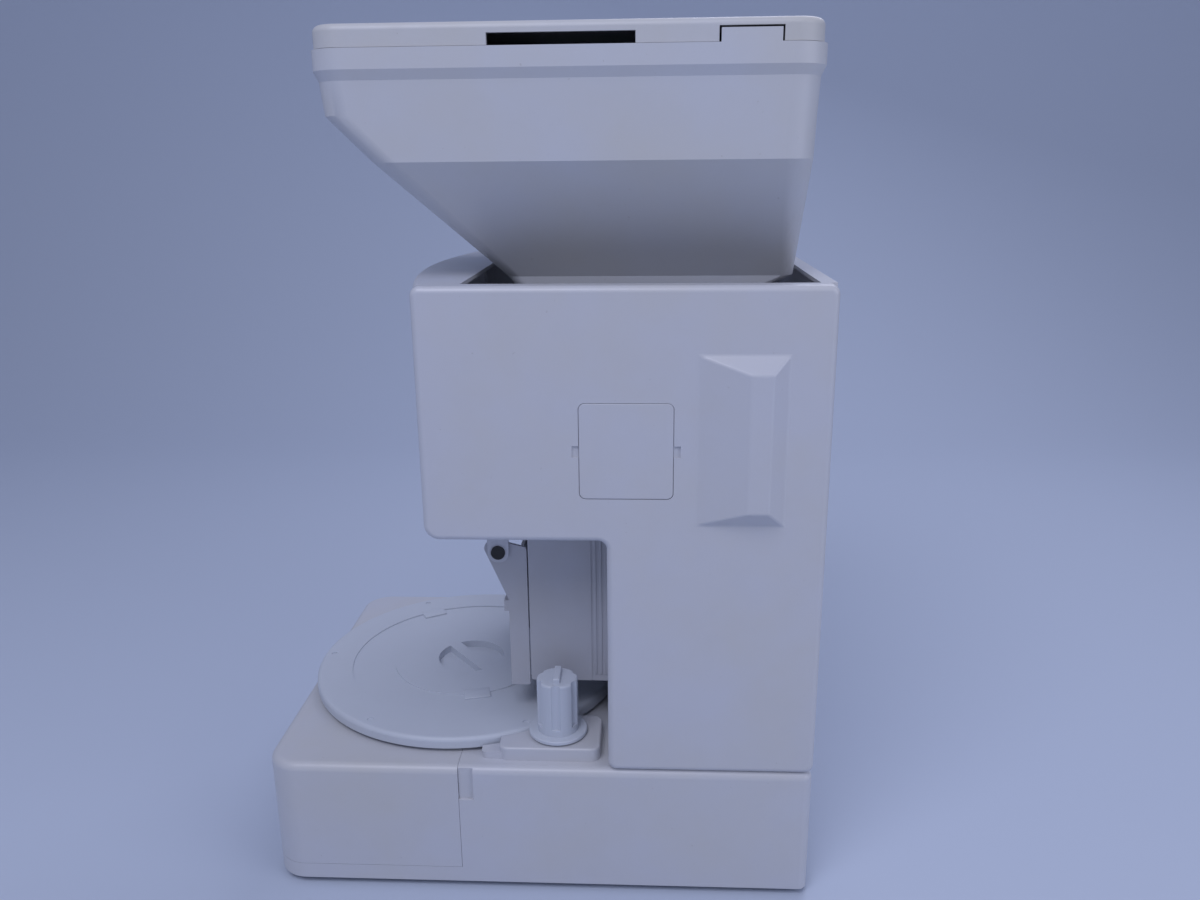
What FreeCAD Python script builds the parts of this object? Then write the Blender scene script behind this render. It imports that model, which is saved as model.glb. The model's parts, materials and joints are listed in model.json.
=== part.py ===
"""Table-top machine that forms balls of rice: base, turntable, casing, hopper and forming unit.

Millimetres. The origin is under the middle of the machine, on the table. +Z is up, +X is to the rear and
-Y is the operator's right-hand side.
"""
import FreeCAD, Part
import math
import os
from FreeCAD import Rotation, Vector

SIZES = {
    # Base
    "base_length": 460.0,
    "body_width": 340.0,
    "foot_height": 6.0,
    "foot_radius": 15.0,
    "foot_inset": 40.0,
    "front_foot_place": -85.0,
    "rear_foot_place": 200.0,
    "base_top": 118.0,
    "lip_top": 20.0,
    "cover_seam": -64.0,
    "shell_wall": 4.0,
    "front_corner": 28.0,
    "rear_corner": 8.0,
    "top_round": 7.0,
    "parting_gap": 0.3,
    "bottom_thickness": 2.0,
    "grip_length": 12.5,
    "grip_height": 31.0,
    "grip_depth": 2.5,
    # Casing
    "casing_top": 516.0,
    "overhang_bottom": 320.0,
    "overhang_front": -80.0,
    "column_front": 62.0,
    "cover_depth": 16.0,
    "cover_wall": 3.0,
    "cover_round": 5.0,
    "overhang_corner": 12.0,
    "front_bow": 20.0,
    "hood_rear": -45.0,
    "rim_width": 12.0,
    "hatch_left": 41.5,
    "hatch_right": 113.0,
    "hatch_low": 355.0,
    "hatch_high": 430.0,
    "hatch_thickness": 2.0,
    "hatch_ledge": 4.0,
    "pry_width": 5.0,
    "pry_height": 9.0,
    "hump_start": 120.0,
    "hump_end": 200.0,
    "hump_low": 331.0,
    "hump_high": 469.0,
    "hump_height": 11.0,
    "hump_slope": 16.0,
    # Frame and feed
    "plate_offset": 108.0,
    "plate_thickness": 3.0,
    "frame_front": -20.0,
    "frame_rear_gap": 25.0,
    "seat_rise": 50.0,
    "seat_thickness": 4.0,
    "feed_middle": 45.0,
    "feed_height": 420.0,
    "feed_radius": 27.0,
    "feed_half_length": 80.0,
    "feed_teeth": 35,
    "drum_teeth": 31,
    "agitator_teeth": 30,
    "gear_module": 2.0,
    "gear_width": 8.0,
    "gear_side": 90.0,
    "shaft_radius": 6.0,
    "running_clearance": 0.05,
    "bearing_radius": 11.0,
    "bearing_width": 6.0,
    "feed_motor_radius": 30.0,
    "feed_motor_length": 36.0,
    "spacer_radius": 5.0,
    # Forming unit
    "forming_offset": 96.0,
    "forming_thickness": 4.0,
    "forming_front": -8.2,
    "forming_rear": 110.0,
    "forming_bottom": 162.0,
    "forming_hang": 20.0,
    "forming_joint": 46.0,
    "drum_height": 212.0,
    "drum_radius": 30.5,
    "drum_half_length": 30.0,
    "drum_gear_side": 80.0,
    "forming_motor_radius": 13.0,
    "forming_motor_length": 46.0,
    "chute_length": 36.0,
    "chute_half_width": 34.0,
    "chute_wall": 2.0,
    "chute_drop": 26.0,
    "chute_bottom": 243.5,
    "guard_front": -26.0,
    "guard_bottom": 157.0,
    "guard_wall": 3.0,
    "guard_gap": 1.2,
    "guard_pivot_place": -33.0,
    "guard_pivot_height": 284.0,
    "guard_pin_radius": 4.0,
    "guard_lug_radius": 9.0,
    # Turntable and lock knob
    "turntable_place": -81.0,
    "turntable_radius": 148.0,
    "turntable_low": 121.7,
    "turntable_thickness": 9.5,
    "turntable_round": 4.0,
    "spindle_radius": 8.0,
    "pedestal_radius": 20.0,
    "pedestal_top": 68.0,
    "table_gear_teeth": 60,
    "table_pinion_teeth": 20,
    "table_gear_module": 1.5,
    "table_motor_radius": 22.0,
    "pinion_shaft_radius": 4.0,
    "platform_left": -31.0,
    "platform_right": 54.5,
    "platform_near": -158.0,
    "platform_far": -104.0,
    "platform_height": 12.0,
    "knob_place": 17.5,
    "knob_side": -131.0,
    "knob_radius": 17.5,
    "knob_top": 182.0,
    "knob_ring_radius": 25.0,
    "knob_ring_height": 3.0,
    "knob_spindle_radius": 5.0,
    # Hopper and lid
    "rim_front": -146.0,
    "rim_rear": 217.0,
    "rim_half_width": 160.0,
    "rim_top": 678.0,
    "rim_band": 14.0,
    "rim_overhang": 3.5,
    "bend_drop": 44.0,
    "fold_drop": 76.0,
    "neck_rise": 44.0,
    "hopper_wall": 3.0,
    "outlet_front": 14.0,
    "outlet_rear": 112.0,
    "outlet_half_width": 84.0,
    "lid_height": 16.0,
    "lid_wall": 4.0,
    "lid_corner": 20.0,
    "lid_inset": 3.0,
    "finger_slot_start": -18.0,
    "finger_slot_end": 84.0,
    "finger_slot_height": 8.0,
    "tab_start": 142.0,
    "tab_end": 183.0,
    "tab_height": 9.0,
    "arm_reach": 22.0,
    "arm_radius": 3.0,
    # Controls and electrics
    "button_radius": 9.0,
    "button_height": 395.0,
    "button_spacing": 60.0,
    "button_travel": 3.0,
    "window_half_width": 48.0,
    "window_low": 428.0,
    "window_high": 472.0,
    "inlet_side": 100.0,
    "inlet_height": 170.0,
    "screw_radius": 3.0,
}


class Size:
    """A number together with the sheet expression that gives it."""

    def __init__(self, value, text=None):
        self.value = float(value)
        self.text = text or repr(self.value)

    def __float__(self):
        return self.value

    def __neg__(self):
        return Size(-self.value, "(0 - %s)" % self.text)

    def __add__(self, other):
        other = as_size(other)
        return Size(self.value + other.value, "(%s + %s)" % (self.text, other.text))

    def __sub__(self, other):
        other = as_size(other)
        return Size(self.value - other.value, "(%s - %s)" % (self.text, other.text))

    def __mul__(self, other):
        other = as_size(other)
        return Size(self.value * other.value, "(%s * %s)" % (self.text, other.text))

    def __truediv__(self, other):
        other = as_size(other)
        return Size(self.value / other.value, "(%s / %s)" % (self.text, other.text))

    def __radd__(self, other):
        return as_size(other) + self

    def __rsub__(self, other):
        return as_size(other) - self

    def __rmul__(self, other):
        return as_size(other) * self


def as_size(number):
    return number if isinstance(number, Size) else Size(number)


doc = FreeCAD.newDocument("RiceMachine")
sheet = doc.addObject("Spreadsheet::Sheet", "Sizes")
for row, (alias, amount) in enumerate(SIZES.items(), start=1):
    sheet.set("A%d" % row, alias)
    sheet.set("B%d" % row, str(amount))
    sheet.setAlias("B%d" % row, alias)
doc.recompute()

S = {alias: Size(amount, "Sizes.%s" % alias) for alias, amount in SIZES.items()}
# Levels and places that follow other sizes.
S["frame_rear"] = S["base_length"] / 2 - S["frame_rear_gap"]
S["frame_top"] = S["feed_height"] + S["seat_rise"]
S["rim_low"] = S["rim_top"] - S["rim_band"]
S["hopper_bend"] = S["rim_top"] - S["bend_drop"]
S["hopper_fold"] = S["rim_top"] - S["fold_drop"]
S["hopper_neck"] = S["frame_top"] + S["neck_rise"]
S["lid_top"] = S["rim_top"] + S["lid_height"]
S["forming_top"] = S["overhang_bottom"] + S["forming_hang"]
S["chute_top"] = S["feed_height"] - S["chute_drop"]
V = {alias: float(amount) for alias, amount in S.items()}
pieces = []

AXIS_TURN = {
    "x": Rotation(Vector(0, 1, 0), 90),
    "y": Rotation(Vector(1, 0, 0), -90),
    "z": Rotation(),
}


def piece(label, item):
    """Name an object of the document as a piece of the machine."""
    item.Label = label
    pieces.append(item)
    return item


def place(item, corner):
    for letter, amount in zip("xyz", corner):
        item.setExpression("Placement.Base.%s" % letter, as_size(amount).text)


def box(x, y, z):
    """A box from three pairs of limits, bound to the sheet."""
    item = doc.addObject("Part::Box", "Block")
    for prop, (low, high) in zip(("Length", "Width", "Height"), (x, y, z)):
        item.setExpression(prop, (as_size(high) - low).text)
    place(item, (x[0], y[0], z[0]))
    return item


def rod(axis, centre, radius, span):
    """A cylinder along an axis; centre holds the two other coordinates in X, Y, Z order."""
    item = doc.addObject("Part::Cylinder", "Rod")
    item.setExpression("Radius", as_size(radius).text)
    item.setExpression("Height", (as_size(span[1]) - span[0]).text)
    item.Placement = FreeCAD.Placement(Vector(), AXIS_TURN[axis])
    corner = list(centre)
    corner.insert("xyz".index(axis), span[0])
    place(item, corner)
    return item


def fuse(*items):
    if len(items) == 1:
        return items[0]
    joined = doc.addObject("Part::MultiFuse", "Joined")
    joined.Shapes = list(items)
    return joined


def group(*items):
    """Separate solids that share one node."""
    together = doc.addObject("Part::Compound", "Set")
    together.Links = list(items)
    return together


def cut(base, *tools):
    result = doc.addObject("Part::Cut", "Cut")
    result.Base = base
    result.Tool = fuse(*tools)
    return result


def feature(shape):
    item = doc.addObject("Part::Feature", "Form")
    item.Shape = shape
    return item


PLANES = {
    "plan": (lambda a, b, level: Vector(a, b, level), Vector(0, 0, 1)),
    "side": (lambda a, b, level: Vector(a, level, b), Vector(0, 1, 0)),
    "front": (lambda a, b, level: Vector(level, a, b), Vector(1, 0, 0)),
}


def outline(points, radii, plane, level):
    """A closed wire through the points, each corner rounded by its radius."""
    put = PLANES[plane][0]
    corners = []
    for index, point in enumerate(points):
        here = put(point[0], point[1], level)
        radius = radii[index]
        if radius == 0:
            corners.append([here])
            continue
        back = (put(*points[index - 1], level) - here).normalize()
        ahead = (put(*points[(index + 1) % len(points)], level) - here).normalize()
        half = back.getAngle(ahead) / 2
        reach = radius / math.tan(half)
        middle = (back + ahead).normalize() * (radius / math.sin(half) - radius)
        corners.append([here + back * reach, here + middle, here + ahead * reach])
    edges = []
    for index, corner in enumerate(corners):
        if len(corner) == 3:
            edges.append(Part.Arc(*corner).toShape())
        start = corner[-1]
        end = corners[(index + 1) % len(corners)][0]
        if start.distanceToPoint(end) > 1e-6:
            edges.append(Part.LineSegment(start, end).toShape())
    return Part.Wire(edges)


def prism(points, radii, plane, low, high):
    face = Part.Face(outline(points, radii, plane, low))
    return face.extrude(PLANES[plane][1] * (high - low))


def rectangle(a_low, a_high, b_low, b_high):
    return [(a_low, b_low), (a_high, b_low), (a_high, b_high), (a_low, b_high)]


def block(x_low, x_high, y_low, y_high, z_low, z_high):
    return Part.makeBox(x_high - x_low, y_high - y_low, z_high - z_low, Vector(x_low, y_low, z_low))


def round_rod(axis, centre, radius, low, high):
    base = list(centre)
    base.insert("xyz".index(axis), low)
    way = {"x": Vector(1, 0, 0), "y": Vector(0, 1, 0), "z": Vector(0, 0, 1)}[axis]
    return Part.makeCylinder(radius, high - low, Vector(*base), way)


def edges_at(shape, letter, level):
    """The edges that lie in one plane across an axis."""
    found = []
    for edge in shape.Edges:
        limits = edge.BoundBox
        low = getattr(limits, letter + "Min")
        high = getattr(limits, letter + "Max")
        if abs(low - level) < 1e-4 and abs(high - level) < 1e-4:
            found.append(edge)
    return found


def flip_side(shape):
    return shape.mirror(Vector(), Vector(0, 1, 0))


def gear(axis, centre, teeth, module, phase, low, high, bore):
    """A spur gear with straight-flanked teeth; phase is the angle of one tooth in degrees."""
    pitch = 2 * math.pi / teeth
    middle = teeth * module / 2
    root = middle - 1.25 * module
    tip = middle + 0.9 * module
    profile = ((root, -0.31), (tip, -0.10), (tip, 0.10), (root, 0.31))
    points = []
    for index in range(int(teeth)):
        for radius, share in profile:
            angle = math.radians(phase) + (index + share) * pitch
            points.append((centre[0] + radius * math.cos(angle), centre[1] + radius * math.sin(angle)))
    plane = {"y": "side", "z": "plan"}[axis]
    body = prism(points, [0] * len(points), plane, low, high)
    return body.cut(round_rod(axis, centre, bore, low, high))


half_width = V["body_width"] / 2
half_length = V["base_length"] / 2
inner_side = half_width - V["cover_depth"]
turntable_top = V["turntable_low"] + V["turntable_thickness"]
feed_gap = V["feed_teeth"] * V["gear_module"] / 2
drum_gap = V["drum_teeth"] * V["gear_module"] / 2
feed_places = (V["feed_middle"] - feed_gap, V["feed_middle"] + feed_gap)
drum_places = (V["feed_middle"] - drum_gap, V["feed_middle"] + drum_gap)
agitator_height = V["feed_height"] + (V["feed_teeth"] + V["agitator_teeth"]) * V["gear_module"] / 2
agitator_place = feed_places[1]


def base_plan(inset):
    points = rectangle(-half_length + inset, half_length - inset, -half_width + inset, half_width - inset)
    radii = [V["front_corner"] - inset, max(V["rear_corner"] - inset, 1.0)]
    return points, [radii[0], radii[1], radii[1], radii[0]]


def make_base():
    """The moulded pan and the front cover share one outer form, parted at the seam."""
    outer = prism(*base_plan(0), "plan", V["foot_height"], V["base_top"])
    outer = outer.makeFillet(V["top_round"], edges_at(outer, "Z", V["base_top"]))
    inner = prism(*base_plan(V["shell_wall"]), "plan", 0, V["base_top"] - V["shell_wall"])
    shell = outer.cut(inner)
    seam = V["cover_seam"]
    reach = half_length + 1
    front = block(-reach, seam, -reach, reach, V["lip_top"], V["base_top"] + 1)
    pan = shell.cut(front)
    spindle_hole = round_rod("z", (V["knob_place"], V["knob_side"]),
                             V["knob_spindle_radius"] + V["running_clearance"], 0, V["base_top"] + 1)
    table_hole = round_rod("z", (V["turntable_place"], 0), V["spindle_radius"] + 2, 0, V["base_top"] + 1)
    pan = pan.cut(spindle_hole).cut(table_hole)
    for side in (-half_width, half_width - V["grip_depth"]):
        pan = pan.cut(block(seam, seam + V["grip_length"], side, side + V["grip_depth"],
                            V["base_top"] - V["grip_height"], V["base_top"] + 1))
    piece("base_pan", feature(pan))
    gap = V["parting_gap"]
    front = block(-reach, seam - gap, -reach, reach, V["lip_top"] + gap, V["base_top"] + 1)
    piece("front_cover", feature(shell.common(front).cut(table_hole)))
    floor_top = V["foot_height"] + V["bottom_thickness"]
    floor = prism(*base_plan(V["shell_wall"]), "plan", V["foot_height"], floor_top)
    piece("bottom_plate", feature(floor))
    side = S["body_width"] / 2 - S["foot_inset"]
    feet = [rod("z", (x, y), S["foot_radius"], (0, S["foot_height"]))
            for x in (S["front_foot_place"], S["rear_foot_place"]) for y in (-side, side)]
    piece("rubber_feet", group(*feet))


def casing_outline(inset):
    """The inverted L of a side cover, seen from the side."""
    front = V["overhang_front"] + inset
    rear = half_length - inset
    top = V["casing_top"] - inset
    under = V["overhang_bottom"] + inset
    foot = V["base_top"] + V["parting_gap"] + inset
    column = V["column_front"] + inset
    points = [(front, top), (rear, top), (rear, foot), (column, foot), (column, under), (front, under)]
    small = V["cover_round"] + 2
    large = V["overhang_corner"]
    radii = [small - inset, small - inset, small - inset, small - inset, small + inset, large - inset]
    return points, radii


def hump(shrink):
    """The wedge that stands out over the feed motor, on the +Y side."""
    slope = V["hump_slope"]
    skin = shrink * 1.5
    height = V["hump_height"] - shrink
    return Part.makeWedge(
        V["hump_start"] + skin * 2, half_width - V["cover_wall"] - shrink, V["hump_low"] + skin,
        V["hump_low"] + slope, V["hump_end"] - slope * 2,
        V["hump_end"] - skin, half_width + height, V["hump_high"] - skin,
        V["hump_high"] - slope, V["hump_end"] - slope)


def side_cover():
    cover = prism(*casing_outline(0), "side", inner_side, half_width)
    cover = cover.makeFillet(V["cover_round"], edges_at(cover, "Y", half_width))
    cover = cover.fuse(hump(0))
    hollow = prism(*casing_outline(V["cover_wall"]), "side", inner_side - 1, half_width - V["cover_wall"])
    return cover.cut(hollow).cut(hump(V["cover_wall"]))


def make_side_covers():
    cover = side_cover()
    piece("left_side_cover", feature(cover))
    right = flip_side(cover)
    opening = rectangle(V["hatch_left"], V["hatch_right"], V["hatch_low"], V["hatch_high"])
    ledge = V["hatch_ledge"]
    through = rectangle(V["hatch_left"] + ledge, V["hatch_right"] - ledge, V["hatch_low"] + ledge,
                        V["hatch_high"] - ledge)
    gap = V["parting_gap"]
    seat = -half_width + V["hatch_thickness"] + gap
    corner = [5.0] * 4
    right = right.cut(prism(opening, corner, "side", -half_width - 1, seat))
    right = right.cut(prism(through, corner, "side", -half_width - 1, -inner_side))
    middle = (V["hatch_low"] + V["hatch_high"]) / 2
    for start in (V["hatch_left"] - V["pry_width"], V["hatch_right"]):
        right = right.cut(block(start, start + V["pry_width"], -half_width - 1, -half_width + 1.5,
                                middle - V["pry_height"] / 2, middle + V["pry_height"] / 2))
    piece("right_side_cover", feature(right))
    plate = rectangle(V["hatch_left"] + gap, V["hatch_right"] - gap,
                      V["hatch_low"] + gap, V["hatch_high"] - gap)
    hatch = prism(plate, [4.7] * 4, "side", -half_width, -half_width + V["hatch_thickness"])
    hatch = hatch.makeFillet(0.8, edges_at(hatch, "Y", -half_width))
    piece("hatch_cover", feature(hatch))


def bowed_plan(inset, rear, half):
    """The plan of the overhang: a shallow arc in front and a straight rear edge."""
    front = V["overhang_front"] + inset
    nose = front - V["front_bow"]
    left = Vector(front, -half, 0)
    right = Vector(front, half, 0)
    edges = [
        Part.Arc(left, Vector(nose, 0, 0), right).toShape(),
        Part.LineSegment(right, Vector(rear, half, 0)).toShape(),
        Part.LineSegment(Vector(rear, half, 0), Vector(rear, -half, 0)).toShape(),
        Part.LineSegment(Vector(rear, -half, 0), left).toShape(),
    ]
    return Part.Face(Part.Wire(edges))


def bowed_prism(inset, rear, half, low, high):
    face = bowed_plan(inset, rear, half)
    face.translate(Vector(0, 0, low))
    return face.extrude(Vector(0, 0, high - low))


def bow_at(side):
    """How far the bowed front has fallen back at a distance from its middle."""
    radius = (inner_side ** 2 + V["front_bow"] ** 2) / (2 * V["front_bow"])
    return radius - math.sqrt(radius ** 2 - side ** 2)


def button_places():
    spread = V["button_spacing"] / 2
    return (("start_button", -spread), ("stop_button", spread))


def make_front_panel():
    wall = V["cover_wall"]
    low, top = V["overhang_bottom"], V["casing_top"]
    panel = bowed_prism(0, V["hood_rear"], inner_side, low, top)
    arcs = [edge for level in (low, top) for edge in edges_at(panel, "Z", level)
            if edge.Curve.TypeId == "Part::GeomCircle"]
    panel = panel.makeFillet(V["cover_round"], arcs)
    panel = panel.cut(bowed_prism(wall, V["hood_rear"] + 1, inner_side, low - 1, top - wall))
    reach = V["overhang_front"] - V["front_bow"] - 5
    window = rectangle(-V["window_half_width"], V["window_half_width"], V["window_low"], V["window_high"])
    rear = V["overhang_front"]
    panel = panel.cut(prism(window, [4.0] * 4, "front", reach, rear))
    button_hole = V["button_radius"] + V["parting_gap"]
    for name, side in button_places():
        panel = panel.cut(round_rod("x", (side, V["button_height"]), button_hole, reach, rear))
    piece("front_panel", feature(panel))
    glass = prism(window, [4.0] * 4, "front", reach, rear)
    glass = glass.common(bowed_prism(0.6, rear, inner_side, low, top))
    glass = glass.cut(bowed_prism(wall, rear + 1, inner_side, low, top))
    piece("display_window", feature(glass))
    nose = V["overhang_front"] - V["front_bow"]
    for name, side in button_places():
        face = nose - V["button_travel"] - 1
        seat = nose + wall + bow_at(V["button_spacing"] / 2 + V["button_radius"] + 3) + V["parting_gap"]
        cap = round_rod("x", (side, V["button_height"]), V["button_radius"], face, seat + 6)
        cap = cap.makeFillet(1.5, edges_at(cap, "X", face))
        flange = round_rod("x", (side, V["button_height"]), V["button_radius"] + 3, seat, seat + 2)
        piece(name, feature(cap.fuse(flange)))


def make_overhang_floor():
    gap = V["parting_gap"]
    wall = V["cover_wall"]
    low = V["overhang_bottom"]
    floor = bowed_prism(wall + gap, V["column_front"] - gap, inner_side, low, low + wall)
    outer = V["forming_offset"] + V["forming_thickness"] + 1
    floor = floor.cut(block(V["guard_front"] - 1, V["column_front"] + 1, -outer, outer,
                            low - 1, low + wall + 1))
    pivot = (V["guard_pivot_place"], V["guard_pivot_height"])
    lug = V["guard_lug_radius"]
    for side in (-1, 1):
        first = side * outer
        second = side * (outer + wall)
        ear_face = rectangle(pivot[0] - lug, pivot[0] + lug, pivot[1] - lug, low)
        ear = prism(ear_face, [lug * 0.9, lug * 0.9, 0, 0], "side", min(first, second), max(first, second))
        hole = round_rod("y", pivot, V["guard_pin_radius"], -inner_side, inner_side)
        floor = floor.fuse(ear.cut(hole))
    piece("overhang_floor", feature(floor))
    pins = []
    for side in (-1, 1):
        inner = V["forming_offset"] - 2
        outer_end = outer + wall + 1.5
        start, end = sorted((side * inner, side * outer_end))
        pin = round_rod("y", pivot, V["guard_pin_radius"], start, end)
        head_low, head_high = sorted((side * (outer + wall), side * outer_end))
        pins.append(pin.fuse(round_rod("y", pivot, V["guard_pin_radius"] + 2, head_low, head_high)))
    piece("guard_pins", feature(Part.makeCompound(pins)))


def make_column_and_rear():
    gap = S["parting_gap"]
    side = S["body_width"] / 2 - S["cover_depth"]
    front = S["column_front"] + gap
    opening = S["forming_offset"] + S["forming_thickness"] + 1.5
    wall = box((front, front + S["cover_wall"]), (-side, side), (S["base_top"], S["overhang_bottom"]))
    slot = box((front - 1, front + S["cover_wall"] + 1), (-opening, opening),
               (S["turntable_low"] - 1, S["overhang_bottom"] + 1))
    piece("column_front_wall", cut(wall, slot))
    rear = S["base_length"] / 2
    sheet_rear = box((rear - S["cover_wall"], rear), (-side, side), (S["base_top"], S["casing_top"]))
    rim = box((rear - S["rim_width"], rear), (-side, side), (S["casing_top"] - S["cover_wall"], S["casing_top"]))
    tools = [box((rear - 20, rear + 1), (S["inlet_side"] - 14, S["inlet_side"] + 14),
                 (S["inlet_height"] - 10, S["inlet_height"] + 10)),
             box((rear - 20, rear + 1), (S["inlet_side"] - 48, S["inlet_side"] - 26),
                 (S["inlet_height"] - 8, S["inlet_height"] + 8))]
    for index in range(7):
        level = S["inlet_height"] + 90 + 12 * index
        tools.append(box((rear - 5, rear + 1), (-70, 70), (level, level + 5)))
    piece("rear_cover", cut(fuse(sheet_rear, rim), *tools))


def make_frame():
    """Two plates that carry the feed rollers, the seat of the hopper and the forming unit."""
    low = V["overhang_bottom"] + V["cover_wall"]
    column = V["column_front"] + V["cover_wall"] + 1
    points = [(V["frame_front"], low), (column, low), (column, V["base_top"]), (V["frame_rear"], V["base_top"]),
              (V["frame_rear"], V["frame_top"]), (V["frame_front"], V["frame_top"])]
    inner = V["plate_offset"]
    plate = prism(points, [0] * 6, "side", inner, inner + V["plate_thickness"])
    for x in feed_places:
        plate = plate.cut(round_rod("y", (x, V["feed_height"]), V["bearing_radius"], inner - 1, inner + 20))
    piece("left_frame_plate", feature(plate))
    piece("right_frame_plate", feature(flip_side(plate)))
    offset = S["plate_offset"]
    bars = []
    rear_row = S["frame_rear"] - 25
    low_row = S["base_top"] + 32
    for x, z in ((rear_row, low_row), (rear_row, low_row + 150), (rear_row, S["frame_top"] - 30),
                 (rear_row - 50, low_row + 100)):
        bars.append(rod("y", (x, z), S["spacer_radius"], (-offset, offset)))
    outer = S["forming_offset"] + S["forming_thickness"]
    hang = S["forming_top"] - 8
    back_row = S["forming_rear"] - 15
    places = ((back_row, S["forming_bottom"] + 18), (back_row, S["forming_top"] - 40),
              (S["forming_front"] + 8.2, hang), (S["forming_front"] + 38.2, hang))
    for x, z in places:
        bars.append(rod("y", (x, z), S["spacer_radius"], (outer, offset)))
        bars.append(rod("y", (x, z), S["spacer_radius"], (-offset, -outer)))
    piece("frame_spacers", group(*bars))
    reach = S["plate_offset"] + S["plate_thickness"]
    seat = box((S["frame_front"], S["frame_rear"]), (-reach, reach),
               (S["frame_top"], S["frame_top"] + S["seat_thickness"]))
    half = S["outlet_half_width"] - S["hopper_wall"] * 1.5
    throat = box((S["outlet_front"] + S["hopper_wall"] * 1.5, S["outlet_rear"] - S["hopper_wall"] * 1.5),
                 (-half, half), (S["frame_top"] - 1, S["frame_top"] + S["seat_thickness"] + 1))
    gear_reach = S["agitator_teeth"] * S["gear_module"] / 2 + 3
    gear_slot = box((agitator_place - gear_reach, agitator_place + gear_reach),
                    (S["gear_side"] - 2, S["gear_side"] + S["gear_width"] + 4),
                    (S["frame_top"] - 1, S["frame_top"] + S["seat_thickness"] + 1))
    piece("hopper_seat", cut(seat, throat, gear_slot))
    half_bearing = S["bearing_width"] / 2
    middle = offset + S["plate_thickness"] / 2
    rings = []
    for x in feed_places:
        for side in (-1, 1):
            span = (side * middle - half_bearing, side * middle + half_bearing)
            hole = S["shaft_radius"] + S["running_clearance"]
            rings.append(cut(rod("y", (x, S["feed_height"]), S["bearing_radius"], span),
                             rod("y", (x, S["feed_height"]), hole, span)))
    piece("roller_bearings", group(*rings))


def fluted_roller(centre, radius, half, flutes, flute_radius):
    roller = round_rod("y", centre, radius, -half, half)
    for index in range(flutes):
        angle = 2 * math.pi * index / flutes
        at = (centre[0] + radius * math.cos(angle), centre[1] + radius * math.sin(angle))
        roller = roller.cut(round_rod("y", at, flute_radius, -half, half))
    return roller.cut(round_rod("y", centre, V["shaft_radius"], -half, half))


def make_feed():
    height = V["feed_height"]
    end = S["plate_offset"] + S["plate_thickness"] + S["bearing_width"] / 2
    motor_end = S["plate_offset"] + S["plate_thickness"] + S["bearing_width"] / 2 + S["feed_motor_length"]
    side = V["gear_side"]
    for name, x, near in (("feed_front", feed_places[0], end), ("feed_rear", feed_places[1], motor_end - 6)):
        roller = fluted_roller((x, height), V["feed_radius"], V["feed_half_length"], 12, 4.0)
        piece(name + "_roller", feature(roller))
        piece(name + "_shaft", rod("y", (x, height), S["shaft_radius"], (-near, end)))
        wheel = gear("y", (x, height), V["feed_teeth"], V["gear_module"], 180, side, side + V["gear_width"],
                     V["shaft_radius"])
        piece(name + "_gear", feature(wheel))
    start = motor_end - S["feed_motor_length"]
    x = feed_places[1]
    body = rod("y", (x, height), S["feed_motor_radius"], (-motor_end, -start))
    bore = rod("y", (x, height), S["shaft_radius"] + S["running_clearance"], (-motor_end + 5, -start))
    piece("feed_motor", cut(body, bore))


def make_chute():
    middle = S["feed_middle"]
    half = S["chute_length"] / 2
    wall = S["chute_wall"]
    wide = S["chute_half_width"]
    height = (S["chute_bottom"], S["chute_top"])
    tube = box((middle - half, middle + half), (-wide, wide), height)
    ears = box((middle - 5, middle + 5), (-S["forming_offset"], S["forming_offset"]),
               (S["forming_top"] - 40, S["forming_top"] - 34))
    bore = box((middle - half + wall, middle + half - wall), (-wide + wall, wide - wall),
               (S["chute_bottom"] - 1, S["chute_top"] + 1))
    piece("rice_chute", cut(fuse(tube, ears), bore))


def make_forming_unit():
    inner = V["forming_offset"]
    points = rectangle(V["forming_front"], V["forming_rear"], V["forming_bottom"], V["forming_top"])
    plate = prism(points, [2.0] * 4, "side", inner, inner + V["forming_thickness"])
    height = V["drum_height"]
    for x in drum_places:
        plate = plate.cut(round_rod("y", (x, height), V["bearing_radius"], inner, inner + 2.5))
    # A shallow joint line runs up the outer face.
    outer = inner + V["forming_thickness"]
    joint = V["forming_joint"]
    plate = plate.cut(block(joint - 0.5, joint + 0.5, outer - 0.8, outer + 1,
                            V["forming_bottom"] - 1, V["forming_top"] + 1))
    piece("left_forming_plate", feature(plate))
    piece("right_forming_plate", feature(flip_side(plate)))
    rings = []
    for x in drum_places:
        for low, high in ((S["forming_offset"] - 3, S["forming_offset"] + 2.5),
                          (-S["forming_offset"] - 2.5, -S["forming_offset"] + 3)):
            hole = S["shaft_radius"] + S["running_clearance"]
            rings.append(cut(rod("y", (x, height), S["bearing_radius"], (low, high)),
                             rod("y", (x, height), hole, (low, high))))
    piece("drum_bearings", group(*rings))
    for name, x in zip(("front_drum", "rear_drum"), drum_places):
        drum = fluted_roller((x, height), V["drum_radius"], V["drum_half_length"], 5, 11.0)
        piece(name, feature(drum))
        end = S["forming_offset"] + 2.0
        piece(name + "_shaft", rod("y", (x, height), S["shaft_radius"], (-end, end)))
        side = V["drum_gear_side"]
        wheel = gear("y", (x, height), V["drum_teeth"], V["gear_module"], 180, side, side + V["gear_width"],
                     V["shaft_radius"])
        piece(name + "_gear", feature(wheel))
    start = S["forming_offset"] - 3
    x = drum_places[1]
    body = rod("y", (x, height), S["forming_motor_radius"], (-start, -start + S["forming_motor_length"]))
    bore = rod("y", (x, height), S["shaft_radius"] + S["running_clearance"],
               (-start, -start + S["forming_motor_length"]))
    piece("forming_motor", cut(body, bore))


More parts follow.
